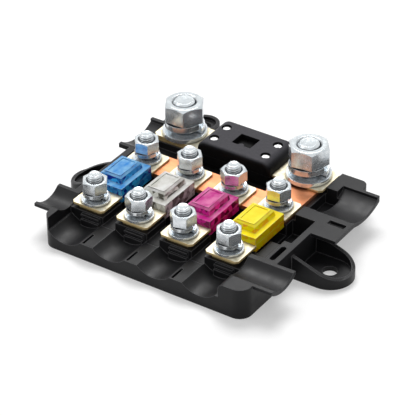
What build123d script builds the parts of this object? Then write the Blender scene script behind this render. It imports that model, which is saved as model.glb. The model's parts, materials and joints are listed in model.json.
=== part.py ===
"""Five-way fuse box: four small bolt-down fuses and one large one on a moulded tray.

Origin: on the mounting plane, straight below the middle of the front row of small studs.
+X runs along the row, +Y runs from the cable scoops to the large fuse, +Z is up.
"""

from build123d import *
import os

os.makedirs("parts", exist_ok=True)

# Fuse layout
way_pitch = 17.8
ways = 4
small_hole_gap = 30.0
large_hole_gap = 50.8
large_row_y = 51.2
first_way_x = -way_pitch * (ways - 1) / 2
way_xs = [first_way_x + way_pitch * way for way in range(ways)]
small_points = [(x, y) for x in way_xs for y in (0, small_hole_gap)]
large_points = [(-large_hole_gap / 2, large_row_y), (large_hole_gap / 2, large_row_y)]

# Heights above the mounting plane
wall_top = 11.2
terminal_top = 11.0
strip_thickness = 0.8
plate_thickness = 1.5
plate_top = terminal_top - strip_thickness
seat_top = plate_top - plate_thickness
apron_top = 6.2
gap_floor = 6.0
bay_floor = 4.5
bay_setback = 1.0
channel_floor = 6.0
side_recess_floor = 3.0
rear_recess_floor = 5.0
block_step_top = 9.0
overcut = 1.0

# Clearances between pieces that fit each other
fit_gap = 0.1
loose_gap = 0.4
side_gap = 0.8

# Small fuse
small_strip_width = 12.8
small_strip_overhang = 5.0
small_strip_corner = 0.9
small_neck_width = 8.0
small_body_width = 12.2
small_body_length = 17.4
small_body_bottom = 8.3
small_shoulder_top = 13.6
small_window_top = 16.0
small_window_width = 8.6
small_window_length = 12.4
small_window_taper = 10.0
small_cavity_width = 5.6
small_cavity_length = 10.6
small_cavity_bottom = 8.9
small_cavity_top = 14.8
small_element_width = 2.2
small_element_length = 8.0
small_cover_edge = 0.5
small_slot_length = 3.4
small_slot_width = 0.9
small_slot_depth = 1.2
small_slot_offset = 1.6
small_plate_inset = 1.2
small_plate_corner = 1.0
small_body_y = small_hole_gap / 2
small_slot_y = small_body_y - (small_body_length + small_window_length) / 4

# Tray outline and its inner limits
tray_right = 44.2
tray_front = -18.2
tray_back = 58.0
tray_corner_radius = 4.5
wall_thickness = 2.4
rail_width = 2.2
inner_left = first_way_x - small_body_width / 2 - side_gap
tray_left = inner_left - wall_thickness
inner_right = 34.2
rail_inner = tray_right - rail_width
corner_block_softening = 2.0
block_step_right = 39.4
block_step_front = 1.6
block_back = 13.5
side_recess_back = 28.5
rear_recess_right = 39.8
rear_recess_front = 34.1
rear_recess_back = 47.8
corner_post_right = 45.4
corner_post_front = 50.4
corner_post_radius = 3.0

# Large fuse
large_strip_width = 13.4
large_strip_length = 68.5
large_strip_corner = 1.2
large_element_width = 3.0
large_element_length = 12.0
large_body_length = 29.6
large_body_width = 17.2
large_body_bottom = 6.8
large_body_top = 16.0
large_body_end_radius = 3.6
large_body_edge_radius = 1.2
large_window_length = 7.6
large_window_width = 6.4
large_window_depth = 2.2
large_notch_radius = 1.1
large_cavity_length = 16.0
large_cavity_width = 10.5
large_cavity_top = 13.2
large_cavity_bottom = 8.4
large_base_chamfer = 0.6
rivet_foot = 7.6
rivet_radius = 1.3
rivet_head_radius = 1.65
rivet_head_height = 0.5
rivet_pocket_radius = 1.75
rivet_pocket_depth = 1.1
rivet_x = 10.5
rivet_y = 3.95

# Threaded studs and their hardware
nut_corner_share = 0.86
nut_chamfer_slope = 0.6
nut_countersink = 0.6
small_stud_radius = 2.5
small_stud_top = 21.4
small_stud_hole_radius = 2.7
small_stud_head_radius = 4.0
small_flat_washer_radius = 5.0
small_flat_washer_thickness = 1.0
small_spring_washer_radius = 4.3
small_spring_washer_thickness = 1.3
small_spring_washer_height = 3.2
small_nut_width = 8.0
small_nut_height = 4.1
small_nut_face_radius = 3.8
small_nut_corner_radius = small_nut_width / 2 / nut_corner_share
small_nut_turns = [4, 8, 34, 12, 16, 24, 2, 6]
large_stud_radius = 4.0
large_stud_top = 24.3
large_stud_hole_radius = 4.25
large_stud_head_radius = 6.5
large_flat_washer_radius = 7.9
large_flat_washer_thickness = 1.6
large_spring_washer_radius = 7.0
large_spring_washer_thickness = 2.1
large_spring_washer_height = 4.6
large_nut_width = 13.0
large_nut_height = 6.6
large_nut_face_radius = 6.1
large_nut_corner_radius = large_nut_width / 2 / nut_corner_share
large_nut_turns = [0, 9]
spring_washer_turns = 0.97
stud_foot = 3.6
stud_head_height = 2.4
stud_head_sides = 6
stud_tip_chamfer = 0.7
small_nut_chamfer = nut_chamfer_slope * (small_nut_corner_radius - small_nut_face_radius)
large_nut_chamfer = nut_chamfer_slope * (large_nut_corner_radius - large_nut_face_radius)

# Stack on each stud: flat washer, open spring washer, nut
small_spring_foot = terminal_top + small_flat_washer_thickness
small_nut_foot = small_spring_foot + small_spring_washer_height
small_nut_top = small_nut_foot + small_nut_height
small_coil_start = small_spring_foot + small_spring_washer_thickness / 2
small_coil_rise = small_spring_washer_height - small_spring_washer_thickness
small_coil_pitch = small_coil_rise / spring_washer_turns
small_coil_radius = (small_spring_washer_radius + small_stud_hole_radius) / 2
large_spring_foot = terminal_top + large_flat_washer_thickness
large_nut_foot = large_spring_foot + large_spring_washer_height
large_nut_top = large_nut_foot + large_nut_height
large_coil_start = large_spring_foot + large_spring_washer_thickness / 2
large_coil_rise = large_spring_washer_height - large_spring_washer_thickness
large_coil_pitch = large_coil_rise / spring_washer_turns
large_coil_radius = (large_spring_washer_radius + large_stud_hole_radius) / 2

# Bus bar
bar_left = inner_left + loose_gap
bar_right = 32.6
bar_front = 24.6
bar_back = 36.0
bar_leg_left = 17.6
bar_leg_back = 57.8
bar_corner = 0.8

# Cable scoops in the front apron
scoop_width = 12.8
scoop_depth = 2.6
scoop_radius = (scoop_width**2 / 4 + scoop_depth**2) / (2 * scoop_depth)
scoop_slit_offset = 7.3
scoop_slit_width = 0.9
scoop_slit_length = 6.0
scoop_slit_depth = 1.8
scoop_slit_margin = 0.6
scoop_stop_length = 7.2
scoop_stop_width = 1.4
scoop_stop_lip = 1.2
scoop_stop_groove = 0.6
scoop_stop_height = 1.8
scoop_stop_groove_top = 1.1
scoop_stop_groove_foot = -0.1
scoop_stop_offset = 1.6

# Cable saddles that run out past the side walls
saddle_skin = 1.2
saddle_rim = 1.3
front_saddle_lip = 1.2
rear_saddle_lip = 1.7
front_saddle_front = -11.8
front_saddle_back = -0.2
front_saddle_depth = 2.3
front_saddle_left_end = -42.6
front_saddle_right_end = 51.4
rear_saddle_front = 33.9
rear_saddle_back = 51.8
rear_saddle_depth = 3.4
rear_saddle_step = 1.2
rear_saddle_left_end = -40.6
rear_saddle_right_end = 52.1
front_saddle_y = (front_saddle_front + front_saddle_back) / 2
rear_saddle_y = (rear_saddle_front + rear_saddle_back) / 2

# Screw lugs: place of the hole, radius of the tip, height at the wall and at the tip
side_lug_y = 18.5
right_lug_x = 53.8
left_lug_x = -41.0
rear_lug_x = -30.3
rear_lug_y = 70.4
side_lug_radius = 8.3
rear_lug_radius = 5.6
side_lug_height = 8.8
rear_lug_height = 3.8
lug_root_overlap = 2.0
lug_rim = 1.3
lug_floor = 1.8
lug_tip_height = 3.2
lug_hole_radius = 2.6
right_lug_reach = right_lug_x - tray_right
left_lug_reach = tray_left - left_lug_x
rear_lug_reach = rear_lug_y - tray_back

# Cover latch ledge and rail opening on the right
ledge_right = 53.6
ledge_front = 22.0
ledge_thickness = 1.4
latch_slot_length = 6.4
latch_slot_width = 2.4
latch_slot_x = 48.9
latch_slot_y = 30.6
rail_slot_length = 8.6
rail_slot_width = 2.0
rail_slot_x = 41.4
rail_slot_y = 6.4
rail_slot_depth = 3.0

# Bay behind the large fuse body
rear_bay_wall = 1.6
rear_bay_top = 9.6
large_body_front = large_row_y - large_body_width / 2
large_body_back = large_row_y + large_body_width / 2
rear_bay_half_width = large_body_length / 2 + loose_gap + rear_bay_wall
rear_bay_back = large_body_back + loose_gap + rear_bay_wall


def area(x_from, x_to, y_from, y_to, mode=Mode.ADD):
    """Draws a rectangle between four limits in the open sketch."""
    with Locations(((x_from + x_to) / 2, (y_from + y_to) / 2)):
        Rectangle(x_to - x_from, y_to - y_from, mode=mode)


with BuildPart() as housing:
    # Block of the tray with rounded corners
    with BuildSketch(Plane.XY):
        with Locations(((tray_left + tray_right) / 2, (tray_front + tray_back) / 2)):
            RectangleRounded(tray_right - tray_left, tray_back - tray_front, tray_corner_radius)
    extrude(amount=wall_top)

    # Bay that wraps the back of the large fuse body
    with BuildSketch(Plane.XY):
        area(-rear_bay_half_width, rear_bay_half_width, large_row_y, rear_bay_back)
    extrude(amount=rear_bay_top)

    # Front saddles: a thin curved skin that crosses the tray and runs out on both sides
    with BuildSketch(Plane.YZ.offset(front_saddle_left_end)):
        with BuildLine():
            ThreePointArc(
                (front_saddle_front, wall_top),
                (front_saddle_y, wall_top - front_saddle_depth),
                (front_saddle_back, wall_top),
            )
            Polyline(
                (front_saddle_back, wall_top),
                (front_saddle_back + saddle_rim, wall_top),
                (front_saddle_back + saddle_rim, wall_top - front_saddle_lip),
            )
            ThreePointArc(
                (front_saddle_back + saddle_rim, wall_top - front_saddle_lip),
                (front_saddle_y, wall_top - front_saddle_depth - saddle_skin),
                (front_saddle_front - saddle_rim, wall_top - front_saddle_lip),
            )
            Polyline(
                (front_saddle_front - saddle_rim, wall_top - front_saddle_lip),
                (front_saddle_front - saddle_rim, wall_top),
                (front_saddle_front, wall_top),
            )
        make_face()
    extrude(amount=front_saddle_right_end - front_saddle_left_end)

    # Rear saddles: the same skin, wider, with a low upright step at the back
    with BuildSketch(Plane.YZ.offset(rear_saddle_left_end)):
        with BuildLine():
            ThreePointArc(
                (rear_saddle_front, wall_top),
                (rear_saddle_y, wall_top - rear_saddle_depth),
                (rear_saddle_back, wall_top - rear_saddle_step),
            )
            Polyline(
                (rear_saddle_back, wall_top - rear_saddle_step),
                (rear_saddle_back, wall_top),
                (rear_saddle_back + saddle_rim, wall_top),
                (rear_saddle_back + saddle_rim, wall_top - 2 * rear_saddle_step),
            )
            ThreePointArc(
                (rear_saddle_back + saddle_rim, wall_top - 2 * rear_saddle_step),
                (rear_saddle_y, wall_top - rear_saddle_depth - saddle_skin),
                (rear_saddle_front - saddle_rim, wall_top - rear_saddle_lip),
            )
            Polyline(
                (rear_saddle_front - saddle_rim, wall_top - rear_saddle_lip),
                (rear_saddle_front - saddle_rim, wall_top),
                (rear_saddle_front, wall_top),
            )
        make_face()
    extrude(amount=rear_saddle_right_end - rear_saddle_left_end)

    # Post at the back right corner, behind the saddle
    with BuildSketch(Plane.XY):
        area(inner_right, corner_post_right, corner_post_front, tray_back)
        fillet(vertices(), corner_post_radius)
    extrude(amount=wall_top)

    # Screw lugs: a shoe with a pocket and a hole, its rim sloping down from the wall to the tip
    for lug_x, lug_y, lug_radius, root_height, reach, to_tray in (
        (right_lug_x, side_lug_y, side_lug_radius, side_lug_height, right_lug_reach, Vector(-1, 0, 0)),
        (left_lug_x, side_lug_y, side_lug_radius, side_lug_height, left_lug_reach, Vector(1, 0, 0)),
        (rear_lug_x, rear_lug_y, rear_lug_radius, rear_lug_height, rear_lug_reach, Vector(0, -1, 0)),
    ):
        lug_plane = Plane((lug_x, lug_y, 0), x_dir=to_tray, z_dir=(0, 0, 1))
        side_plane = Plane((lug_x, lug_y, 0), x_dir=to_tray, z_dir=to_tray.cross(Vector(0, 0, 1)))
        with BuildSketch(lug_plane):
            Circle(lug_radius)
            area(0, reach + lug_root_overlap, -lug_radius, lug_radius)
        extrude(amount=root_height)
        with BuildSketch(lug_plane.offset(lug_floor)):
            Circle(lug_radius - lug_rim)
            area(0, reach, lug_rim - lug_radius, lug_radius - lug_rim)
            area(-lug_radius, reach, -lug_radius, lug_radius, mode=Mode.INTERSECT)
        extrude(amount=root_height, mode=Mode.SUBTRACT)
        with BuildSketch(side_plane):
            with BuildLine():
                Polyline(
                    (-lug_radius, lug_tip_height),
                    (lug_rim - lug_radius, lug_tip_height),
                    (reach, root_height),
                    (-lug_radius, root_height),
                    close=True,
                )
            make_face()
        extrude(amount=lug_radius, both=True, mode=Mode.SUBTRACT)
        with BuildSketch(lug_plane):
            Circle(lug_hole_radius)
        extrude(amount=lug_floor, mode=Mode.SUBTRACT)

    # Ledge of the cover latch beside the right rear saddle
    with BuildSketch(Plane.XY.offset(wall_top - ledge_thickness)):
        area(tray_right - overcut, ledge_right, ledge_front, rear_saddle_front)
    extrude(amount=ledge_thickness)

    # Front apron, lower than the walls, between the left wall and the corner block
    with BuildSketch(Plane.XY.offset(apron_top)):
        area(inner_left, inner_right, tray_front - overcut, -small_strip_overhang)
    extrude(amount=wall_top, mode=Mode.SUBTRACT)

    # Seats of the small fuses, open above the seat height
    with BuildSketch(Plane.XY.offset(seat_top)):
        area(inner_left, inner_right, -small_strip_overhang, bar_back + loose_gap)
    extrude(amount=wall_top, mode=Mode.SUBTRACT)

    # Bay under the small fuse bodies
    with BuildSketch(Plane.XY.offset(bay_floor)):
        area(inner_left, inner_right, small_strip_overhang + bay_setback, bar_front - fit_gap)
    extrude(amount=wall_top, mode=Mode.SUBTRACT)

    # Gaps between the front seats
    with BuildSketch(Plane.XY.offset(gap_floor)):
        for left_way, right_way in zip(way_xs[:-1], way_xs[1:]):
            area(
                left_way + small_strip_width / 2,
                right_way - small_strip_width / 2,
                -small_strip_overhang - overcut,
                small_strip_overhang + bay_setback + overcut,
            )
    extrude(amount=wall_top, mode=Mode.SUBTRACT)

    # Channel between the bus bar and the large fuse
    with BuildSketch(Plane.XY.offset(channel_floor)):
        area(
            inner_left,
            bar_leg_left - fit_gap,
            bar_back + loose_gap,
            large_row_y - large_strip_width / 2,
        )
    extrude(amount=wall_top, mode=Mode.SUBTRACT)

    # Seats of the large fuse, open to the back
    with BuildSketch(Plane.XY.offset(seat_top)):
        area(
            -large_strip_length / 2 - loose_gap,
            large_strip_length / 2 + loose_gap,
            bar_back,
            tray_back + overcut,
        )
    extrude(amount=wall_top, mode=Mode.SUBTRACT)

    # Pocket of the large fuse body
    with BuildSketch(Plane.XY.offset(large_body_bottom - loose_gap)):
        area(
            -large_body_length / 2 - loose_gap,
            large_body_length / 2 + loose_gap,
            large_body_front - overcut,
            large_body_back + loose_gap,
        )
    extrude(amount=wall_top, mode=Mode.SUBTRACT)

    # Side recess, rear recess and stepped block along the right rail
    with BuildSketch(Plane.XY.offset(side_recess_floor)):
        area(inner_right - overcut, rail_inner, block_back, side_recess_back)
    extrude(amount=wall_top, mode=Mode.SUBTRACT)
    with BuildSketch(Plane.XY.offset(rear_recess_floor)):
        area(inner_right, rear_recess_right, rear_recess_front, rear_recess_back)
    extrude(amount=wall_top, mode=Mode.SUBTRACT)
    with BuildSketch(Plane.XY.offset(block_step_top)):
        area(inner_right - overcut, block_step_right, block_step_front, block_back + overcut)
    extrude(amount=wall_top, mode=Mode.SUBTRACT)

    # Openings of the saddles through the side walls
    for side_from, side_to in (
        (front_saddle_left_end, inner_left),
        (inner_right - overcut, front_saddle_right_end),
    ):
        with BuildSketch(Plane.YZ.offset(side_from)):
            with BuildLine():
                ThreePointArc(
                    (front_saddle_front, wall_top),
                    (front_saddle_y, wall_top - front_saddle_depth),
                    (front_saddle_back, wall_top),
                )
                Line((front_saddle_back, wall_top), (front_saddle_front, wall_top))
            make_face()
        extrude(amount=side_to - side_from, mode=Mode.SUBTRACT)
    for side_from, side_to in (
        (rear_saddle_left_end, inner_left),
        (rear_recess_right - overcut, rear_saddle_right_end),
    ):
        with BuildSketch(Plane.YZ.offset(side_from)):
            with BuildLine():
                ThreePointArc(
                    (rear_saddle_front, wall_top),
                    (rear_saddle_y, wall_top - rear_saddle_depth),
                    (rear_saddle_back, wall_top - rear_saddle_step),
                )
                Line((rear_saddle_back, wall_top - rear_saddle_step), (rear_saddle_back, wall_top))
                Line((rear_saddle_back, wall_top), (rear_saddle_front, wall_top))
            make_face()
        extrude(amount=side_to - side_from, mode=Mode.SUBTRACT)

    # Cable scoops, one in front of each small fuse
    with BuildSketch(Plane.XZ.offset(-tray_front)):
        with Locations([(x, apron_top - scoop_depth + scoop_radius) for x in way_xs]):
            Circle(scoop_radius)
        area(tray_left, tray_right, apron_top, wall_top + 2 * scoop_radius, mode=Mode.SUBTRACT)
    extrude(amount=tray_front + small_strip_overhang, mode=Mode.SUBTRACT)

    # Slits beside the scoops that take the ribs of the cover
    with BuildSketch(Plane.XY.offset(apron_top - scoop_slit_depth)):
        for x in way_xs[:-1]:
            area(
                x + scoop_slit_offset - scoop_slit_width / 2,
                x + scoop_slit_offset + scoop_slit_width / 2,
                tray_front + scoop_slit_margin,
                tray_front + scoop_slit_margin + scoop_slit_length,
            )
    extrude(amount=wall_top, mode=Mode.SUBTRACT)

    # Grooved stop behind each scoop
    for x in way_xs:
        with BuildSketch(Plane.YZ.offset(x + scoop_stop_offset - scoop_stop_length / 2)):
            with BuildLine():
                Polyline(
                    (-small_strip_overhang, apron_top - scoop_depth),
                    (-small_strip_overhang - scoop_stop_width, apron_top - scoop_depth),
                    (-small_strip_overhang - scoop_stop_width, apron_top + scoop_stop_groove_foot),
                    (-small_strip_overhang - scoop_stop_groove, apron_top + scoop_stop_groove_foot),
                    (-small_strip_overhang - scoop_stop_groove, apron_top + scoop_stop_groove_top),
                    (-small_strip_overhang - scoop_stop_lip, apron_top + scoop_stop_groove_top),
                    (-small_strip_overhang - scoop_stop_lip, apron_top + scoop_stop_height),
                    (-small_strip_overhang, apron_top + scoop_stop_height),
                    close=True,
                )
            make_face()
        extrude(amount=scoop_stop_length)

    # Openings for the cover latch and the rail slot
    with BuildSketch(Plane.XY.offset(wall_top - ledge_thickness)):
        area(
            latch_slot_x - latch_slot_length / 2,
            latch_slot_x + latch_slot_length / 2,
            latch_slot_y - latch_slot_width / 2,
            latch_slot_y + latch_slot_width / 2,
        )
    extrude(amount=wall_top, mode=Mode.SUBTRACT)
    with BuildSketch(Plane.XY.offset(wall_top - rail_slot_depth)):
        with Locations((rail_slot_x, rail_slot_y)):
            SlotOverall(rail_slot_length, rail_slot_width, rotation=90)
    extrude(amount=rail_slot_depth, mode=Mode.SUBTRACT)

    # Rounded top edge of the corner block
    corner_edge = housing.edges().sort_by_distance((inner_right, tray_front + saddle_rim, wall_top))[0]
    fillet(corner_edge, corner_block_softening)

    # Moulded-in feet of the studs
    for points, stud_radius, head_radius in (
        (small_points, small_stud_radius, small_stud_head_radius),
        (large_points, large_stud_radius, large_stud_head_radius),
    ):
        with BuildSketch(Plane.XY.offset(stud_foot)):
            with Locations(points):
                RegularPolygon(head_radius, stud_head_sides)
        extrude(amount=stud_head_height, mode=Mode.SUBTRACT)
        with BuildSketch(Plane.XY.offset(stud_foot)):
            with Locations(points):
                Circle(stud_radius)
        extrude(amount=wall_top, mode=Mode.SUBTRACT)

housing.part.label = "housing"
export_step(housing.part, "parts/housing.step")

with BuildPart() as bus_bar:
    # One copper strip under the rear studs, with a leg to the right stud of the large fuse
    with BuildSketch(Plane.XY.offset(seat_top)):
        area(bar_left, bar_right, bar_front, bar_back)
        area(bar_leg_left, bar_right, bar_front, bar_leg_back)
        with Locations([(x, small_hole_gap) for x in way_xs]):
            Circle(small_stud_hole_radius, mode=Mode.SUBTRACT)
        with Locations(large_points[1]):
            Circle(large_stud_hole_radius, mode=Mode.SUBTRACT)
    extrude(amount=plate_thickness)
    chamfer(bus_bar.edges().filter_by(Axis.Z).group_by(Axis.X)[-1], bar_corner)

bus_bar.part.label = "bus_bar"
export_step(bus_bar.part, "parts/bus_bar.step")

with BuildPart() as contact_plates:
    # One plate under the front terminal of each small fuse
    with BuildSketch(Plane.XY.offset(seat_top)):
        for x in way_xs:
            area(
                x - small_flat_washer_radius,
                x + small_flat_washer_radius,
                small_plate_inset - small_strip_overhang,
                small_strip_overhang,
            )
        chamfer(vertices(), small_plate_corner)
        with Locations([(x, 0) for x in way_xs]):
            Circle(small_stud_hole_radius, mode=Mode.SUBTRACT)
    extrude(amount=plate_thickness)

contact_plates.part.label = "contact_plates"
export_step(contact_plates.part, "parts/contact_plates.step")

with BuildPart() as large_contact_plate:
    # Plate under the left terminal of the large fuse
    with BuildSketch(Plane.XY.offset(seat_top)):
        area(
            inner_left,
            -bar_leg_left,
            large_row_y - large_strip_width / 2 + loose_gap,
            bar_leg_back,
        )
        with Locations(large_points[0]):
            Circle(large_stud_hole_radius, mode=Mode.SUBTRACT)
    extrude(amount=plate_thickness)

large_contact_plate.part.label = "large_contact_plate"
export_step(large_contact_plate.part, "parts/large_contact_plate.step")

with BuildPart() as small_strip_1:
    # Tinned terminals with clipped corners, joined by a neck and a narrow element
    with BuildSketch(Plane.XY.offset(plate_top)):
        with Locations((way_xs[0], small_body_y)):
            Rectangle(small_strip_width, small_hole_gap + 2 * small_strip_overhang)
        chamfer(vertices(), small_strip_corner)
        with Locations((way_xs[0], small_body_y)):
            Rectangle(small_strip_width, small_body_length, mode=Mode.SUBTRACT)
            Rectangle(small_neck_width, small_body_length)
            Rectangle(small_neck_width, small_element_length, mode=Mode.SUBTRACT)
            Rectangle(small_element_width, small_element_length)
        with Locations([(way_xs[0], 0), (way_xs[0], small_hole_gap)]):
            Circle(small_stud_hole_radius, mode=Mode.SUBTRACT)
    extrude(amount=strip_thickness)

small_strip_1.part.label = "small_strip_1"
export_step(small_strip_1.part, "parts/small_strip_1.step")

with BuildPart() as small_base_1:
    # Lower half of the plastic body, with a channel for the strip and a hollow under the element
    with BuildSketch(Plane.XY.offset(small_body_bottom)):
        with Locations((way_xs[0], small_body_y)):
            Rectangle(small_body_width, small_body_length)
    extrude(amount=terminal_top - small_body_bottom)
    with BuildSketch(Plane.XY.offset(plate_top)):
        with Locations((way_xs[0], small_body_y)):
            Rectangle(small_neck_width + 2 * fit_gap, small_body_length)
    extrude(amount=strip_thickness, mode=Mode.SUBTRACT)
    with BuildSketch(Plane.XY.offset(small_cavity_bottom)):
        with Locations((way_xs[0], small_body_y)):
            Rectangle(small_cavity_width, small_cavity_length)
    extrude(amount=terminal_top - small_cavity_bottom, mode=Mode.SUBTRACT)

small_base_1.part.label = "small_base_1"
export_step(small_base_1.part, "parts/small_base_1.step")

with BuildPart() as small_cover_1:
    # Upper half of the body: a shoulder with a slot, a tapered window block and the hollow over the element
    with BuildSketch(Plane.XY.offset(terminal_top)):
        with Locations((way_xs[0], small_body_y)):
            Rectangle(small_body_width, small_body_length)
    extrude(amount=small_shoulder_top - terminal_top)
    with BuildSketch(Plane.XY.offset(small_shoulder_top)):
        with Locations((way_xs[0], small_body_y)):
            Rectangle(small_window_width, small_window_length)
    extrude(amount=small_window_top - small_shoulder_top, taper=small_window_taper)
    chamfer(small_cover_1.faces().sort_by(Axis.Z)[-1].edges(), small_cover_edge)
    with BuildSketch(Plane.XY.offset(small_shoulder_top - small_slot_depth)):
        with Locations((way_xs[0] - small_slot_offset, small_slot_y)):
            Rectangle(small_slot_length, small_slot_width)
    extrude(amount=small_slot_depth, mode=Mode.SUBTRACT)
    with BuildSketch(Plane.XY.offset(terminal_top)):
        with Locations((way_xs[0], small_body_y)):
            Rectangle(small_cavity_width, small_cavity_length)
    extrude(amount=small_cavity_top - terminal_top, mode=Mode.SUBTRACT)

small_cover_1.part.label = "small_cover_1"
export_step(small_cover_1.part, "parts/small_cover_1.step")

with BuildPart() as small_strip_2:
    with Locations((way_pitch, 0, 0)):
        add(small_strip_1.part)

small_strip_2.part.label = "small_strip_2"
export_step(small_strip_2.part, "parts/small_strip_2.step")

with BuildPart() as small_base_2:
    with Locations((way_pitch, 0, 0)):
        add(small_base_1.part)

small_base_2.part.label = "small_base_2"
export_step(small_base_2.part, "parts/small_base_2.step")

with BuildPart() as small_cover_2:
    with Locations((way_pitch, 0, 0)):
        add(small_cover_1.part)

small_cover_2.part.label = "small_cover_2"
export_step(small_cover_2.part, "parts/small_cover_2.step")

with BuildPart() as small_strip_3:
    with Locations((2 * way_pitch, 0, 0)):
        add(small_strip_1.part)

small_strip_3.part.label = "small_strip_3"
export_step(small_strip_3.part, "parts/small_strip_3.step")

with BuildPart() as small_base_3:
    with Locations((2 * way_pitch, 0, 0)):
        add(small_base_1.part)

small_base_3.part.label = "small_base_3"
export_step(small_base_3.part, "parts/small_base_3.step")

with BuildPart() as small_cover_3:
    with Locations((2 * way_pitch, 0, 0)):
        add(small_cover_1.part)

small_cover_3.part.label = "small_cover_3"
export_step(small_cover_3.part, "parts/small_cover_3.step")

with BuildPart() as small_strip_4:
    with Locations((3 * way_pitch, 0, 0)):
        add(small_strip_1.part)

small_strip_4.part.label = "small_strip_4"
export_step(small_strip_4.part, "parts/small_strip_4.step")

with BuildPart() as small_base_4:
    with Locations((3 * way_pitch, 0, 0)):
        add(small_base_1.part)

small_base_4.part.label = "small_base_4"
export_step(small_base_4.part, "parts/small_base_4.step")

with BuildPart() as small_cover_4:
    with Locations((3 * way_pitch, 0, 0)):
        add(small_cover_1.part)

small_cover_4.part.label = "small_cover_4"
export_step(small_cover_4.part, "parts/small_cover_4.step")

rivet_points = [(x, large_row_y + y) for x in (-rivet_x, rivet_x) for y in (-rivet_y, rivet_y)]

with BuildPart() as large_strip:
    # Tinned strip of the large fuse, narrow in the middle, with holes for studs and rivets
    with BuildSketch(Plane.XY.offset(plate_top)):
        with Locations((0, large_row_y)):
            Rectangle(large_strip_length, large_strip_width)
        chamfer(vertices(), large_strip_corner)
        with Locations((0, large_row_y)):
            Rectangle(large_element_length, large_strip_width, mode=Mode.SUBTRACT)
            Rectangle(large_element_length, large_element_width)
        with Locations(large_points):
            Circle(large_stud_hole_radius, mode=Mode.SUBTRACT)
        with Locations(rivet_points):
            Circle(rivet_radius, mode=Mode.SUBTRACT)
    extrude(amount=strip_thickness)

large_strip.part.label = "large_strip"
export_step(large_strip.part, "parts/large_strip.step")

with BuildPart() as large_base:
    # Lower half of the large body with the channel for the strip
    with BuildSketch(Plane.XY.offset(large_body_bottom)):
        with Locations((0, large_row_y)):
            Rectangle(large_body_length, large_body_width)
    extrude(amount=terminal_top - large_body_bottom)
    chamfer(large_base.faces().sort_by(Axis.Z)[0].edges(), large_base_chamfer)
    with BuildSketch(Plane.XY.offset(plate_top)):
        with Locations((0, large_row_y)):
            Rectangle(large_body_length, large_strip_width + 2 * fit_gap)
    extrude(amount=strip_thickness, mode=Mode.SUBTRACT)
    with BuildSketch(Plane.XY.offset(large_cavity_bottom)):
        with Locations((0, large_row_y)):
            Rectangle(large_cavity_length, large_cavity_width)
    extrude(amount=terminal_top - large_cavity_bottom, mode=Mode.SUBTRACT)
    with BuildSketch(Plane.XY.offset(rivet_foot)):
        with Locations(rivet_points):
            Circle(rivet_radius)
    extrude(amount=terminal_top - rivet_foot, mode=Mode.SUBTRACT)

large_base.part.label = "large_base"
export_step(large_base.part, "parts/large_base.step")

with BuildPart() as large_cover:
    # Upper half of the large body with rolled ends, a window recess and rivet pockets
    with BuildSketch(Plane.XY.offset(terminal_top)):
        with Locations((0, large_row_y)):
            Rectangle(large_body_length, large_body_width)
    extrude(amount=large_body_top - terminal_top)
    fillet(large_cover.faces().sort_by(Axis.Z)[-1].edges().filter_by(Axis.Y), large_body_end_radius)
    fillet(large_cover.faces().sort_by(Axis.Z)[-1].edges().filter_by(Axis.X), large_body_edge_radius)
    with BuildSketch(Plane.XY.offset(large_body_top - large_window_depth)):
        with Locations((0, large_row_y)):
            Rectangle(large_window_length, large_window_width)
        with Locations((0, large_row_y - large_window_width / 2)):
            Circle(large_notch_radius, mode=Mode.SUBTRACT)
    extrude(amount=large_body_top, mode=Mode.SUBTRACT)
    with BuildSketch(Plane.XY.offset(terminal_top)):
        with Locations((0, large_row_y)):
            Rectangle(large_cavity_length, large_cavity_width)
    extrude(amount=large_cavity_top - terminal_top, mode=Mode.SUBTRACT)
    with BuildSketch(Plane.XY.offset(large_body_top - rivet_pocket_depth)):
        with Locations(rivet_points):
            Circle(rivet_pocket_radius)
    extrude(amount=large_body_top, mode=Mode.SUBTRACT)
    with BuildSketch(Plane.XY.offset(terminal_top)):
        with Locations(rivet_points):
            Circle(rivet_radius)
    extrude(amount=large_body_top, mode=Mode.SUBTRACT)

large_cover.part.label = "large_cover"
export_step(large_cover.part, "parts/large_cover.step")

with BuildPart() as large_rivets:
    # Rivets that hold the halves together, each with a low head in its pocket
    with BuildSketch(Plane.XY.offset(rivet_foot)):
        with Locations(rivet_points):
            Circle(rivet_radius)
    extrude(amount=large_body_top - rivet_pocket_depth - rivet_foot)
    with BuildSketch(Plane.XY.offset(large_body_top - rivet_pocket_depth)):
        with Locations(rivet_points):
            Circle(rivet_head_radius)
    extrude(amount=rivet_head_height)

large_rivets.part.label = "large_rivets"
export_step(large_rivets.part, "parts/large_rivets.step")

with BuildPart() as small_studs:
    # Studs whose hexagon heads are moulded into the seats, so that they don't turn
    with BuildSketch(Plane.XY.offset(stud_foot)):
        with Locations(small_points):
            RegularPolygon(small_stud_head_radius, stud_head_sides)
    extrude(amount=stud_head_height)
    with BuildSketch(Plane.XY.offset(stud_foot)):
        with Locations(small_points):
            Circle(small_stud_radius)
    extrude(amount=small_stud_top - stud_foot)
    chamfer(small_studs.faces().group_by(Axis.Z)[-1].edges(), stud_tip_chamfer)

small_studs.part.label = "small_studs"
export_step(small_studs.part, "parts/small_studs.step")

with BuildPart() as small_flat_washers:
    with BuildSketch(Plane.XY.offset(terminal_top)):
        with Locations(small_points):
            Circle(small_flat_washer_radius)
            Circle(small_stud_hole_radius, mode=Mode.SUBTRACT)
    extrude(amount=small_flat_washer_thickness)

small_flat_washers.part.label = "small_flat_washers"
export_step(small_flat_washers.part, "parts/small_flat_washers.step")

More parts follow.
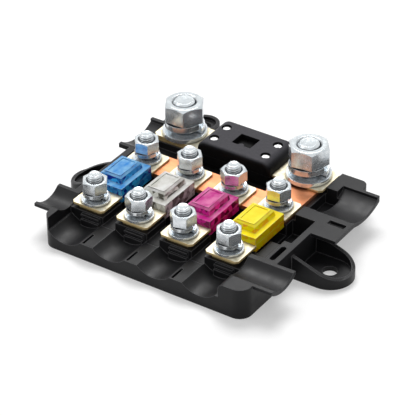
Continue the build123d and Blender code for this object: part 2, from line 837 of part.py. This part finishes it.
with BuildPart() as large_studs:
    with BuildSketch(Plane.XY.offset(stud_foot)):
        with Locations(large_points):
            RegularPolygon(large_stud_head_radius, stud_head_sides)
    extrude(amount=stud_head_height)
    with BuildSketch(Plane.XY.offset(stud_foot)):
        with Locations(large_points):
            Circle(large_stud_radius)
    extrude(amount=large_stud_top - stud_foot)
    chamfer(large_studs.faces().group_by(Axis.Z)[-1].edges(), stud_tip_chamfer)

large_studs.part.label = "large_studs"
export_step(large_studs.part, "parts/large_studs.step")

with BuildPart() as large_flat_washers:
    with BuildSketch(Plane.XY.offset(terminal_top)):
        with Locations(large_points):
            Circle(large_flat_washer_radius)
            Circle(large_stud_hole_radius, mode=Mode.SUBTRACT)
    extrude(amount=large_flat_washer_thickness)

large_flat_washers.part.label = "large_flat_washers"
export_step(large_flat_washers.part, "parts/large_flat_washers.step")

with BuildPart() as small_spring_washers:
    # Open spring washers: one turn of a coil, split at the front
    for x, y in small_points:
        with BuildLine():
            Helix(small_coil_pitch, small_coil_rise, small_coil_radius, (x, y, small_coil_start))
        with BuildSketch(Plane((x, y, small_coil_start), x_dir=(1, 0, 0), z_dir=(0, -1, 0))):
            with Locations((small_coil_radius, 0)):
                Rectangle(small_spring_washer_radius - small_stud_hole_radius, small_spring_washer_thickness)
        sweep(is_frenet=True)

small_spring_washers.part.label = "small_spring_washers"
export_step(small_spring_washers.part, "parts/small_spring_washers.step")

with BuildPart() as small_nuts:
    # Hexagon nuts with chamfered corners and a countersunk bore, each stopped at its own turn
    for (x, y), turn in zip(small_points, small_nut_turns):
        with BuildSketch(Plane((x, y, small_nut_foot))):
            RegularPolygon(small_nut_width / 2, 6, major_radius=False, rotation=turn)
            Circle(small_stud_radius, mode=Mode.SUBTRACT)
        extrude(amount=small_nut_height)
        with BuildSketch(Plane((x, y, small_nut_top), x_dir=(1, 0, 0), z_dir=(0, -1, 0))):
            with BuildLine():
                Polyline(
                    (small_nut_face_radius, 0),
                    (small_nut_corner_radius, 0),
                    (small_nut_corner_radius, -small_nut_chamfer),
                    close=True,
                )
            make_face()
            with BuildLine():
                Polyline(
                    (small_stud_radius, 0),
                    (small_stud_radius + nut_countersink, 0),
                    (small_stud_radius, -nut_countersink),
                    close=True,
                )
            make_face()
        revolve(axis=Axis((x, y, 0), (0, 0, 1)), mode=Mode.SUBTRACT)

small_nuts.part.label = "small_nuts"
export_step(small_nuts.part, "parts/small_nuts.step")

with BuildPart() as large_spring_washers:
    for x, y in large_points:
        with BuildLine():
            Helix(large_coil_pitch, large_coil_rise, large_coil_radius, (x, y, large_coil_start))
        with BuildSketch(Plane((x, y, large_coil_start), x_dir=(1, 0, 0), z_dir=(0, -1, 0))):
            with Locations((large_coil_radius, 0)):
                Rectangle(large_spring_washer_radius - large_stud_hole_radius, large_spring_washer_thickness)
        sweep(is_frenet=True)

large_spring_washers.part.label = "large_spring_washers"
export_step(large_spring_washers.part, "parts/large_spring_washers.step")

with BuildPart() as large_nuts:
    for (x, y), turn in zip(large_points, large_nut_turns):
        with BuildSketch(Plane((x, y, large_nut_foot))):
            RegularPolygon(large_nut_width / 2, 6, major_radius=False, rotation=turn)
            Circle(large_stud_radius, mode=Mode.SUBTRACT)
        extrude(amount=large_nut_height)
        with BuildSketch(Plane((x, y, large_nut_top), x_dir=(1, 0, 0), z_dir=(0, -1, 0))):
            with BuildLine():
                Polyline(
                    (large_nut_face_radius, 0),
                    (large_nut_corner_radius, 0),
                    (large_nut_corner_radius, -large_nut_chamfer),
                    close=True,
                )
            make_face()
            with BuildLine():
                Polyline(
                    (large_stud_radius, 0),
                    (large_stud_radius + nut_countersink, 0),
                    (large_stud_radius, -nut_countersink),
                    close=True,
                )
            make_face()
        revolve(axis=Axis((x, y, 0), (0, 0, 1)), mode=Mode.SUBTRACT)

large_nuts.part.label = "large_nuts"
export_step(large_nuts.part, "parts/large_nuts.step")
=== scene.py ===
"""Looks of the five-way fuse box: materials, threaded studs, rivet heads, window frames, camera and light."""

import json
import math

import bmesh
import bpy
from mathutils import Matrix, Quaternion, Vector


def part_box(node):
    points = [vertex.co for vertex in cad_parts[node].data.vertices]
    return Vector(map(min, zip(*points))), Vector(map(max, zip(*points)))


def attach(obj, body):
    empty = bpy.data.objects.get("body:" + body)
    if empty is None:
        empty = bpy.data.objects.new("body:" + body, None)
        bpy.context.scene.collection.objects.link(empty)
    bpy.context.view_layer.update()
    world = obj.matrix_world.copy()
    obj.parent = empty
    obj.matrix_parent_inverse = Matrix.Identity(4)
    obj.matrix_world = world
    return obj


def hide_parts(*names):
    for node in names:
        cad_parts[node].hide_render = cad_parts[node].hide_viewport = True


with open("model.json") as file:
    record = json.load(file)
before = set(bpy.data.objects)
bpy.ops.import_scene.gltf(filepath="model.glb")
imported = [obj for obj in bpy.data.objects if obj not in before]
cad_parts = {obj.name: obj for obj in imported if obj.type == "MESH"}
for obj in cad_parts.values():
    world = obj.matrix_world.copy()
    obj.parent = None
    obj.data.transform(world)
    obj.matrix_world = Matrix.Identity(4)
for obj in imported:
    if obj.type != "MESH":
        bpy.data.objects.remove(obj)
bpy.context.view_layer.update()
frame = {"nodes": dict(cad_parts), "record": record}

MM = 0.001

# Camera of the photograph, in metres and radians; the focal length and the sensor are in millimetres
CAMERA_TARGET = Vector((7.69, 16.12, 11.0)) * MM
CAMERA_DISTANCE = 753.8 * MM
CAMERA_AZIMUTH = math.radians(34.2)
CAMERA_ELEVATION = math.radians(34.05)
CAMERA_ROLL = math.radians(-0.8)
CAMERA_LENS = 196.1
CAMERA_SENSOR = 36.0
CAMERA_NEAR = 0.01
CAMERA_FAR = 20.0

# Small fuses from left to right
COLOURS = ("blue", "clear", "pink", "yellow")

# Corners of a square, to the right and to the rear of its middle
SQUARE = ((-1, -1), (1, -1), (1, 1), (-1, 1))

# Studs, in millimetres
STUD_HEAD_SIDES = 6
STUD_HEAD_HEIGHT = 2.4
THREAD_COLUMNS = 48
THREAD_ROWS_PER_TURN = 8
THREAD_CLEARANCE = 0.02
THREAD_DEPTH_PER_PITCH = 0.58
THREAD_FLANK_SLOPE = 1.25
THREAD_CREST_SHARE = 0.12
TIP_DISH_SHARE = 0.35
TIP_DISH_DEPTH = 0.12

# Rivets, in millimetres: each ring of the head has a radius and a drop below the top, from outside to inside
RIVET_COLUMNS = 40
RIVET_HALF_GAP_X = 10.5
RIVET_HALF_GAP_Y = 3.95
RIVET_SHANK_RADIUS = 1.3
RIVET_HEAD = [
    (1.3, 0.5),
    (1.48, 0.5),
    (1.48, 0.28),
    (1.38, 0.1),
    (1.1, 0.0),
    (0.75, 0.0),
    (0.6, 0.2),
    (0.2, 0.28),
]

# Window frames, in millimetres
FRAME_HALF_X = 3.3
FRAME_HALF_Y = 5.2
FRAME_BAR = 0.75
FRAME_HEIGHT = 0.30
FRAME_BEVEL = 0.08

# Floor and background, with lengths in metres
FLOOR_HALF = 1.5
FLOOR_DROP = 0.0002
FLOOR_DEEP = (0.66, 0.66, 0.66)
FLOOR_PALE = (0.68, 0.68, 0.68)
FLOOR_GLOW = 0.36
WORLD_LIGHT = 0.35
WORLD_SEEN = 1.0
WHITE = (1, 1, 1, 1)


# Materials


class Look:
    """A node material, with short calls for the few nodes that the looks share, in millimetres."""

    def __init__(self, name, bevel=0.0):
        self.material = bpy.data.materials.new(name)
        self.material.use_nodes = True
        self.tree = self.material.node_tree
        self.shader = self.tree.nodes["Principled BSDF"]
        self.place = self.node("ShaderNodeTexCoord").outputs["Object"]
        self.normal = None
        if bevel:
            self.normal = self.rounded(bevel)
            self.link(self.normal, "Normal")

    def node(self, kind, **settings):
        made = self.tree.nodes.new(kind)
        for key, value in settings.items():
            setattr(made, key, value)
        return made

    def link(self, output, name):
        self.tree.links.new(output, self.shader.inputs[name])

    def set(self, **values):
        for name, value in values.items():
            self.shader.inputs[name.replace("_", " ")].default_value = value

    def rounded(self, radius):
        """The normal of the surface with its edges rounded by radius millimetres."""
        made = self.node("ShaderNodeBevel", samples=6)
        made.inputs["Radius"].default_value = radius * MM
        return made.outputs["Normal"]

    def stretched(self, stretch):
        """The place on the object, with each axis multiplied by its stretch."""
        made = self.node("ShaderNodeMapping")
        made.inputs["Scale"].default_value = stretch
        self.tree.links.new(self.place, made.inputs["Vector"])
        return made.outputs["Vector"]

    def axis(self, vector, letter):
        """One of the three numbers of a vector."""
        made = self.node("ShaderNodeSeparateXYZ")
        self.tree.links.new(vector, made.inputs[0])
        return made.outputs[letter]

    def noise(self, grain, detail=3.0, stretch=(1, 1, 1)):
        """Noise whose patches are about grain millimetres wide."""
        made = self.node("ShaderNodeTexNoise")
        made.inputs["Scale"].default_value = 1 / (grain * MM)
        made.inputs["Detail"].default_value = detail
        self.tree.links.new(self.stretched(stretch), made.inputs["Vector"])
        return made.outputs["Fac"]

    def cells(self, grain, stretch=(1, 1, 1)):
        """A value from 0 to 1 for each of the crystal-like facets, about grain millimetres wide."""
        made = self.node("ShaderNodeTexVoronoi")
        made.inputs["Scale"].default_value = 1 / (grain * MM)
        self.tree.links.new(self.stretched(stretch), made.inputs["Vector"])
        return self.axis(made.outputs["Color"], "X")

    def height(self):
        """The height above the mounting plane, in millimetres."""
        made = self.node("ShaderNodeMath", operation="MULTIPLY")
        made.inputs[1].default_value = 1 / MM
        self.tree.links.new(self.axis(self.place, "Z"), made.inputs[0])
        return made.outputs[0]

    def facing_up(self, start=0.3, end=0.9):
        """A mask that is 1 on faces that look up."""
        flat = self.node("ShaderNodeNewGeometry").outputs["Normal"]
        return self.between(self.axis(flat, "Z"), 0.0, 1.0, start, end)

    def crevices(self, reach, start=0.35, end=0.95):
        """A mask that is 1 in narrow gaps, within reach millimetres, where the looks paint shade."""
        made = self.node("ShaderNodeAmbientOcclusion", samples=8)
        made.inputs["Distance"].default_value = reach * MM
        return self.between(made.outputs["AO"], 1.0, 0.0, start, end)

    def edges(self, radius, start=0.02, end=0.25):
        """A mask that is 1 along the outer and inner edges, within radius millimetres."""
        flat = self.node("ShaderNodeNewGeometry").outputs["Normal"]
        dot = self.node("ShaderNodeVectorMath", operation="DOT_PRODUCT")
        self.tree.links.new(self.rounded(radius), dot.inputs[0])
        self.tree.links.new(flat, dot.inputs[1])
        return self.between(dot.outputs["Value"], 1.0, 0.0, 1 - end, 1 - start)

    def between(self, factor, low, high, start=0.35, end=0.65):
        """A number that runs from low to high as factor runs from start to end."""
        made = self.node("ShaderNodeMapRange")
        made.inputs["From Min"].default_value = start
        made.inputs["From Max"].default_value = end
        made.inputs["To Min"].default_value = low
        made.inputs["To Max"].default_value = high
        self.tree.links.new(factor, made.inputs["Value"])
        return made.outputs["Result"]

    def times(self, first, second):
        made = self.node("ShaderNodeMath", operation="MULTIPLY")
        self.tree.links.new(first, made.inputs[0])
        self.tree.links.new(second, made.inputs[1])
        return made.outputs[0]

    def blend(self, factor, first, second):
        """A colour between first and second, each a colour or another node's output."""
        made = self.node("ShaderNodeMix", data_type="RGBA")
        self.tree.links.new(factor, made.inputs["Factor"])
        for socket, colour in ((made.inputs[6], first), (made.inputs[7], second)):
            if isinstance(colour, tuple):
                socket.default_value = (*colour, 1.0)
            else:
                self.tree.links.new(colour, socket)
        return made.outputs[2]

    def bump(self, height, depth, strength=1.0):
        """Raises the surface by depth millimetres where height is 1."""
        made = self.node("ShaderNodeBump")
        made.inputs["Strength"].default_value = strength
        made.inputs["Distance"].default_value = depth * MM
        self.tree.links.new(height, made.inputs["Height"])
        if self.normal:
            self.tree.links.new(self.normal, made.inputs["Normal"])
        self.normal = made.outputs["Normal"]
        self.link(self.normal, "Normal")


def black_plastic():
    """Glossy moulded nylon: nearly black, with a faint flow pattern and lighter edges, painted as highlight
    as well as wear.
    """
    look = Look("black_plastic", bevel=0.5)
    deep = (0.0065, 0.0065, 0.0075)
    pale = (0.0125, 0.0125, 0.0135)
    edge_wear_and_highlight = (0.10, 0.10, 0.105)
    body = look.blend(look.noise(6.0, 4), deep, pale)
    # Painted highlight, and wear, along the edges.
    look.link(look.blend(look.edges(0.4, 0.01, 0.10), body, edge_wear_and_highlight), "Base Color")
    look.link(look.between(look.noise(3.0, 5), 0.34, 0.46), "Roughness")
    look.bump(look.noise(0.35, 2), 0.005, 0.5)
    look.bump(look.noise(9.0, 1), 0.08, 0.25)
    look.set(Specular_IOR_Level=0.20)
    return look.material


def dark_plastic():
    """Grained moulding of the large fuse: its top is painted greyer and its sides nearly black for how the
    light falls, with painted shade in its window, low down on the body and in crevices.
    """
    look = Look("dark_plastic", bevel=0.35)
    top_deep = (0.036, 0.035, 0.040)
    top_pale = (0.062, 0.060, 0.068)
    shaded_side_deep = (0.004, 0.004, 0.005)
    shaded_side_pale = (0.008, 0.008, 0.009)
    edge_wear_and_highlight = (0.070, 0.068, 0.075)
    below = (0.004, 0.004, 0.0045)
    crevice_shade = (0.003, 0.003, 0.003)
    grain = look.noise(0.8, 5)
    top = look.blend(grain, top_deep, top_pale)
    sides = look.blend(grain, shaded_side_deep, shaded_side_pale)
    # Painted light and shade: the top is painted lighter and the sides nearly black, for how the light falls.
    body = look.blend(look.facing_up(0.4, 0.9), sides, top)
    # Painted highlight, and wear, along the edges.
    worn_and_highlit = look.blend(look.edges(0.35), body, edge_wear_and_highlight)
    # Painted shade: nearly black below 14.1 mm, in the window and low on the body, fading out by 15.3 mm.
    above_window = look.between(look.height(), 0.0, 1.0, start=14.1, end=15.3)
    shaded = look.blend(above_window, below, worn_and_highlit)
    # Painted shade in crevices and in the window recess.
    look.link(look.blend(look.crevices(3.0, 0.45, 0.85), shaded, crevice_shade), "Base Color")
    look.link(look.between(look.noise(0.6, 4), 0.40, 0.56), "Roughness")
    look.bump(look.noise(0.22, 3), 0.02, 0.6)
    look.set(Specular_IOR_Level=0.08)
    return look.material


def copper():
    """Sheared copper strip, brushed along its length, with darker stains."""
    look = Look("copper", bevel=0.12)
    clean_deep = (0.86, 0.31, 0.13)
    clean_pale = (0.94, 0.43, 0.22)
    stain = (0.62, 0.22, 0.10)
    crevice_shade = (0.20, 0.06, 0.03)
    streaks = look.noise(0.9, 4, stretch=(0.08, 1, 1))
    clean = look.blend(streaks, clean_deep, clean_pale)
    stained = look.blend(look.between(look.noise(9.0, 5), 0.0, 0.7), clean, stain)
    # Painted shade in crevices.
    look.link(look.blend(look.crevices(1.2), stained, crevice_shade), "Base Color")
    look.link(look.between(streaks, 0.28, 0.44), "Roughness")
    look.bump(streaks, 0.004, 0.4)
    look.set(Metallic=0.85)
    return look.material


def tin_plate():
    """Tinned terminal: pale, faintly mottled, with yellower sheared edges."""
    look = Look("tin_plate", bevel=0.15)
    top_pale = (0.82, 0.78, 0.64)
    top_deep = (0.62, 0.56, 0.40)
    side = (0.70, 0.54, 0.26)
    rim = (0.80, 0.62, 0.34)
    crevice_shade = (0.22, 0.17, 0.09)
    top = look.blend(look.between(look.noise(1.6, 6), 0, 1), top_pale, top_deep)
    body = look.blend(look.facing_up(0.2, 0.8), side, top)
    rims = look.blend(look.times(look.edges(0.22), look.facing_up(0.2, 0.8)), body, rim)
    # Painted shade in crevices.
    look.link(look.blend(look.crevices(1.0), rims, crevice_shade), "Base Color")
    look.link(look.between(look.noise(0.7, 4, stretch=(1, 0.1, 1)), 0.44, 0.60), "Roughness")
    look.bump(look.noise(0.9, 3), 0.005, 0.4)
    look.set(Metallic=0.65)
    return look.material


def zinc():
    """Bright zinc plating: cool silver with greyer patches, painted grey reflection on the tops, painted dark
    reflection along the edges, and painted shade in crevices.
    """
    look = Look("zinc", bevel=0.22)
    bright = (0.84, 0.87, 0.89)
    patch = (0.60, 0.65, 0.69)
    painted_grey_top = (0.54, 0.58, 0.60)
    rim = (0.52, 0.55, 0.58)
    crevice_shade = (0.07, 0.08, 0.09)
    clean = look.blend(look.between(look.noise(2.2, 4), 0, 1, 0.38, 0.72), bright, patch)
    high_up = look.between(look.height(), 0.0, 0.75, start=15.0, end=16.5)
    # Painted reflection: faces that look up, above 15 mm, turn a duller grey.
    grey_topped = look.blend(look.times(look.facing_up(0.5, 0.95), high_up), clean, painted_grey_top)
    # Painted dark reflection along the edges.
    rims = look.blend(look.edges(0.22), grey_topped, rim)
    # Painted shade in crevices, between stud, nut and washers.
    look.link(look.blend(look.crevices(1.2), rims, crevice_shade), "Base Color")
    look.link(look.between(look.noise(1.1, 3), 0.15, 0.26), "Roughness")
    look.bump(look.noise(2.0, 2), 0.010, 0.35)
    look.set(Metallic=0.74)
    return look.material


def rivet_metal():
    """Pale satin metal of the rivets."""
    look = Look("rivet_metal", bevel=0.25)
    pale = (0.93, 0.93, 0.93)
    dull = (0.84, 0.84, 0.85)
    look.link(look.blend(look.noise(0.7, 4), pale, dull), "Base Color")
    look.link(look.between(look.noise(0.5, 4), 0.30, 0.45), "Roughness")
    look.bump(look.noise(1.2, 2), 0.03, 0.6)
    look.set(Metallic=0.6)
    return look.material


def clear_colour(name, light, middle, side_light, deep, transmission, rim=0.25):
    """Translucent plastic of a small fuse: soft tops, facets on the sides painted in light and deep colour as
    glints, darker towards the foot, and painted highlights along the edges.
    """
    look = Look(name, bevel=0.22)
    facets = look.cells(1.5, (1, 0.7, 0.9))
    soft = look.between(look.noise(3.2, 2, stretch=(1, 0.6, 1)), 0.0, 1.0)
    top = look.blend(soft, light, middle)
    # Painted glints: the facets on the sides run from light to deep colour.
    sides = look.blend(look.between(facets, 0.0, 1.0, 0.22, 0.88), side_light, deep)
    body = look.blend(look.facing_up(0.3, 0.8), sides, top)
    low_down = look.between(look.height(), 0.25, 0.0, start=8.6, end=12.0)
    lower = look.blend(low_down, body, deep)
    pale = tuple(min(1.0, rim + (1 - rim) * channel) for channel in light)
    # Painted highlight along the edges.
    look.link(look.blend(look.between(look.edges(0.30), 0.0, 0.7, 0, 1), lower, pale), "Base Color")
    look.link(look.between(look.noise(1.5, 4), 0.05, 0.14), "Roughness")
    look.bump(look.noise(1.6, 3), 0.03, 0.5)
    look.bump(facets, 0.12, 0.8)
    look.set(Transmission_Weight=transmission, IOR=1.45, Specular_IOR_Level=0.32)
    return look.material


materials = {
    "black_plastic": black_plastic(),
    "dark_plastic": dark_plastic(),
    "copper": copper(),
    "tin_plate": tin_plate(),
    "zinc": zinc(),
    "rivet_metal": rivet_metal(),
    "blue_plastic": clear_colour(
        "blue_plastic",
        light=(0.25, 0.56, 0.84),
        middle=(0.03, 0.27, 0.74),
        side_light=(0.05, 0.50, 1.0),
        deep=(0.0, 0.03, 0.34),
        transmission=0.18,
    ),
    "clear_plastic": clear_colour(
        "clear_plastic",
        light=(0.92, 0.92, 0.90),
        middle=(0.66, 0.65, 0.59),
        side_light=(1.0, 1.0, 0.92),
        deep=(0.16, 0.15, 0.12),
        transmission=0.22,
        rim=0.9,
    ),
    "pink_plastic": clear_colour(
        "pink_plastic",
        light=(0.82, 0.20, 0.46),
        middle=(0.62, 0.02, 0.28),
        side_light=(1.0, 0.03, 0.48),
        deep=(0.16, 0.0, 0.06),
        transmission=0.18,
    ),
    "yellow_plastic": clear_colour(
        "yellow_plastic",
        light=(1.0, 0.90, 0.04),
        middle=(1.0, 0.78, 0.01),
        side_light=(1.0, 0.86, 0.0),
        deep=(1.0, 0.48, 0.0),
        transmission=0.08,
    ),
}

for part in frame["record"]["subparts"]:
    mesh = frame["nodes"][part["node"]].data
    mesh.materials.clear()
    mesh.materials.append(materials[part["material_slot"]])


# New pieces


class Box:
    """The extent of a CAD node, in millimetres."""

    def __init__(self, node):
        low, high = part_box(node)
        self.left, self.front, self.foot = (round(value / MM, 4) for value in low)
        self.right, self.rear, self.top = (round(value / MM, 4) for value in high)
        self.middle = ((self.left + self.right) / 2, (self.front + self.rear) / 2)


def spread(first, last, count):
    """Evenly spaced places from first to last, or first alone, to the micrometre."""
    return [round(first + (last - first) * step / max(count - 1, 1), 3) for step in range(count)]


class Shape:
    """A mesh in the making, in millimetres. Corners that fall together are one."""

    def __init__(self):
        self.mesh = bmesh.new()
        self.corners = {}

    def corner(self, x, y, z):
        key = (round(x, 4), round(y, 4), round(z, 4))
        if key not in self.corners:
            self.corners[key] = self.mesh.verts.new((x * MM, y * MM, z * MM))
        return self.corners[key]

    def on_circle(self, middle, radius, height, turn):
        """A corner at a share of a turn round middle."""
        x = middle[0] + radius * math.cos(math.tau * turn)
        y = middle[1] + radius * math.sin(math.tau * turn)
        return self.corner(x, y, height)

    def ring(self, middle, radius, height, count):
        return [self.on_circle(middle, radius, height, step / count) for step in range(count)]

    def rectangle(self, middle, half_x, half_y, height):
        """Four corners round middle, all at one height."""
        x, y = middle
        return [self.corner(x + right * half_x, y + rear * half_y, height) for right, rear in SQUARE]

    def face(self, corners):
        """A face, unless too few of its corners lie apart."""
        apart = list(dict.fromkeys(corners))
        if len(apart) > 2:
            self.mesh.faces.new(apart)

    def band(self, near, far):
        """Faces all the way round between two loops, which look outward when near is the lower one."""
        for step in range(len(near)):
            after = (step + 1) % len(near)
            self.face((near[step], near[after], far[after], far[step]))

    def turned(self, middle, profile, count):
        """A solid turned from a profile of radius and height, which starts at the foot."""
        rings = [self.ring(middle, radius, height, count) for radius, height in profile]
        self.face(reversed(rings[0]))
        for near, far in zip(rings, rings[1:]):
            self.band(near, far)
        self.face(rings[-1])

    def thread(self, middle, crest, foot, top, pitch, tip_chamfer):
        """A helical thread from foot to top, which runs out in the chamfer of the tip."""
        tip = crest - tip_chamfer
        depth = THREAD_DEPTH_PER_PITCH * pitch
        rows = int((top - foot) / pitch + 2) * THREAD_ROWS_PER_TURN
        grid = []
        for row in range(rows + 1):
            phase = (row % THREAD_ROWS_PER_TURN) / THREAD_ROWS_PER_TURN
            flank = THREAD_FLANK_SLOPE * (1 - abs(2 * phase - 1)) - THREAD_CREST_SHARE
            groove = min(1.0, max(0.0, flank))
            line = []
            for column in range(THREAD_COLUMNS + 1):
                turn = column / THREAD_COLUMNS
                raw = foot - pitch + (row / THREAD_ROWS_PER_TURN + turn) * pitch
                level = min(max(raw, foot), top)
                across = min(crest - depth * groove, tip + (top - level))
                if raw <= foot:
                    across = crest
                elif raw >= top:
                    across = tip
                line.append(self.on_circle(middle, across, level, turn))
            grid.append(line)
        for near, far in zip(grid, grid[1:]):
            for column in range(THREAD_COLUMNS):
                self.face((near[column], near[column + 1], far[column + 1], far[column]))

    def piece(self, name, slot, sharp_angle=None):
        """The finished object, on the root. Edges flatter than the sharp angle, in degrees, look smooth."""
        mesh = bpy.data.meshes.new(name)
        self.mesh.to_mesh(mesh)
        self.mesh.free()
        if sharp_angle:
            mesh.polygons.foreach_set("use_smooth", [True] * len(mesh.polygons))
            mesh.set_sharp_from_angle(angle=math.radians(sharp_angle))
        mesh.materials.append(materials[slot])
        made = bpy.data.objects.new(name, mesh)
        bpy.context.scene.collection.objects.link(made)
        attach(made, "root")
        return made


def threaded_studs(size, columns, rows, radius, head_radius, pitch, tip_chamfer):
    """Studs with a hexagon head, a rolled thread and a dished tip, in place of their CAD node."""
    studs = Box(f"{size}_studs")
    thread_foot = Box(f"{size}_flat_washers").top
    head_top = studs.foot + STUD_HEAD_HEIGHT
    head_half_width = head_radius * math.cos(math.pi / STUD_HEAD_SIDES)
    crest = radius - THREAD_CLEARANCE
    tip = crest - tip_chamfer
    shape = Shape()
    for x in spread(studs.left + head_radius, studs.right - head_radius, columns):
        for y in spread(studs.front + head_half_width, studs.rear - head_half_width, rows):
            middle = (x, y)
            shape.turned(middle, [(head_radius, studs.foot), (head_radius, head_top)], STUD_HEAD_SIDES)
            shank = shape.ring(middle, crest, head_top, THREAD_COLUMNS)
            shape.band(shank, shape.ring(middle, crest, thread_foot, THREAD_COLUMNS))
            shape.thread(middle, crest, thread_foot, studs.top, pitch, tip_chamfer)
            dish = shape.ring(middle, TIP_DISH_SHARE * tip, studs.top - TIP_DISH_DEPTH, THREAD_COLUMNS)
            shape.band(shape.ring(middle, tip, studs.top, THREAD_COLUMNS), dish)
            shape.face(dish)
    made = shape.piece(f"{size}_threaded_studs", "zinc", sharp_angle=32)
    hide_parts(f"{size}_studs")


def rivet_heads():
    """Rivets with a rolled and dimpled head, in place of their CAD node."""
    rivets = Box("large_rivets")
    profile = [(RIVET_SHANK_RADIUS, rivets.foot)]
    profile += [(radius, rivets.top - drop) for radius, drop in RIVET_HEAD]
    x, y = rivets.middle
    shape = Shape()
    for right, rear in SQUARE:
        place = (x + right * RIVET_HALF_GAP_X, y + rear * RIVET_HALF_GAP_Y)
        shape.turned(place, profile, RIVET_COLUMNS)
    made = shape.piece("large_rivet_heads", "rivet_metal", sharp_angle=40)
    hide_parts("large_rivets")


def window_frame(colour, number):
    """A low moulded frame with bevelled edges, on the window of a small fuse."""
    cover = Box(f"small_cover_{number}")
    top = cover.top + FRAME_HEIGHT
    shape = Shape()
    loops = []
    for inset, height in ((0, cover.top), (0, top), (FRAME_BAR, top), (FRAME_BAR, cover.top)):
        loops.append(shape.rectangle(cover.middle, FRAME_HALF_X - inset, FRAME_HALF_Y - inset, height))
    for near, far in zip(loops, loops[1:] + loops[:1]):
        shape.band(near, far)
    made = shape.piece(f"{colour}_window_frame", f"{colour}_plastic")
    bevel = made.modifiers.new("bevel", "BEVEL")
    bevel.width = FRAME_BEVEL * MM
    bevel.segments = 2


rivet_heads()
for number, colour in enumerate(COLOURS, 1):
    window_frame(colour, number)
threaded_studs("small", columns=4, rows=2, radius=2.5, head_radius=4.0, pitch=0.8, tip_chamfer=0.7)
threaded_studs("large", columns=2, rows=1, radius=4.0, head_radius=6.5, pitch=1.25, tip_chamfer=0.9)


# Camera

camera_data = bpy.data.cameras.new("camera")
camera_data.lens = CAMERA_LENS
camera_data.sensor_width = CAMERA_SENSOR
camera_data.clip_start = CAMERA_NEAR
camera_data.clip_end = CAMERA_FAR
camera = bpy.data.objects.new("camera", camera_data)
bpy.context.scene.collection.objects.link(camera)
bpy.context.scene.camera = camera
back = Vector(
    (
        math.sin(CAMERA_AZIMUTH) * math.cos(CAMERA_ELEVATION),
        -math.cos(CAMERA_AZIMUTH) * math.cos(CAMERA_ELEVATION),
        math.sin(CAMERA_ELEVATION),
    )
)
camera.location = CAMERA_TARGET + back * CAMERA_DISTANCE
camera.rotation_mode = "QUATERNION"
upright = (-back).to_track_quat("-Z", "Y")
camera.rotation_quaternion = upright @ Quaternion((0, 0, 1), CAMERA_ROLL)


# Light, floor and background


def soft_light(name, place, size, power):
    """A square area lamp that points at the object, in metres and watts."""
    lamp = bpy.data.lights.new(name, "AREA")
    lamp.shape = "SQUARE"
    lamp.size = size
    lamp.energy = power
    made = bpy.data.objects.new(name, lamp)
    made.location = place
    made.rotation_euler = (CAMERA_TARGET - Vector(place)).to_track_quat("-Z", "Y").to_euler()
    bpy.context.scene.collection.objects.link(made)


def seen_ray(tree):
    """1 for what the camera sees straight, in a reflection or through a clear piece, and 0 for light."""
    path = tree.nodes.new("ShaderNodeLightPath")
    seen = path.outputs["Is Camera Ray"]
    for kind in ("Is Glossy Ray", "Is Transmission Ray"):
        either = tree.nodes.new("ShaderNodeMath")
        either.operation = "MAXIMUM"
        tree.links.new(seen, either.inputs[0])
        tree.links.new(path.outputs[kind], either.inputs[1])
        seen = either.outputs[0]
    return seen


def white_world():
    """A world that lights softly and is seen as white."""
    world = bpy.data.worlds.new("world")
    bpy.context.scene.world = world
    world.use_nodes = True
    tree = world.node_tree
    background = tree.nodes["Background"]
    background.inputs["Color"].default_value = WHITE
    strength = tree.nodes.new("ShaderNodeMapRange")
    strength.inputs["To Min"].default_value = WORLD_LIGHT
    strength.inputs["To Max"].default_value = WORLD_SEEN
    tree.links.new(seen_ray(tree), strength.inputs["Value"])
    tree.links.new(strength.outputs["Result"], background.inputs["Strength"])


def white_floor():
    """A pale floor just below the part, which keeps the part's shadow."""
    mesh = bpy.data.meshes.new("floor")
    corners = [(right * FLOOR_HALF, rear * FLOOR_HALF, -FLOOR_DROP) for right, rear in SQUARE]
    mesh.from_pydata(corners, [], [(0, 1, 2, 3)])
    floor = bpy.data.objects.new("floor", mesh)
    bpy.context.scene.collection.objects.link(floor)
    look = Look("floor")
    look.link(look.blend(look.noise(60, 3), FLOOR_DEEP, FLOOR_PALE), "Base Color")
    look.set(Roughness=0.8, Specular_IOR_Level=0.0, Emission_Color=WHITE)
    glow = look.node("ShaderNodeMath", operation="MULTIPLY")
    glow.inputs[1].default_value = FLOOR_GLOW
    look.tree.links.new(seen_ray(look.tree), glow.inputs[0])
    look.link(glow.outputs[0], "Emission Strength")
    mesh.materials.append(look.material)


soft_light("key", place=(-0.22, 0.36, 0.70), size=0.46, power=5.6)
soft_light("fill", place=(0.45, -0.45, 0.55), size=0.45, power=0.55)
soft_light("side", place=(-0.55, -0.35, 0.45), size=0.45, power=0.7)
white_world()
white_floor()

bpy.context.scene.view_settings.view_transform = "Standard"
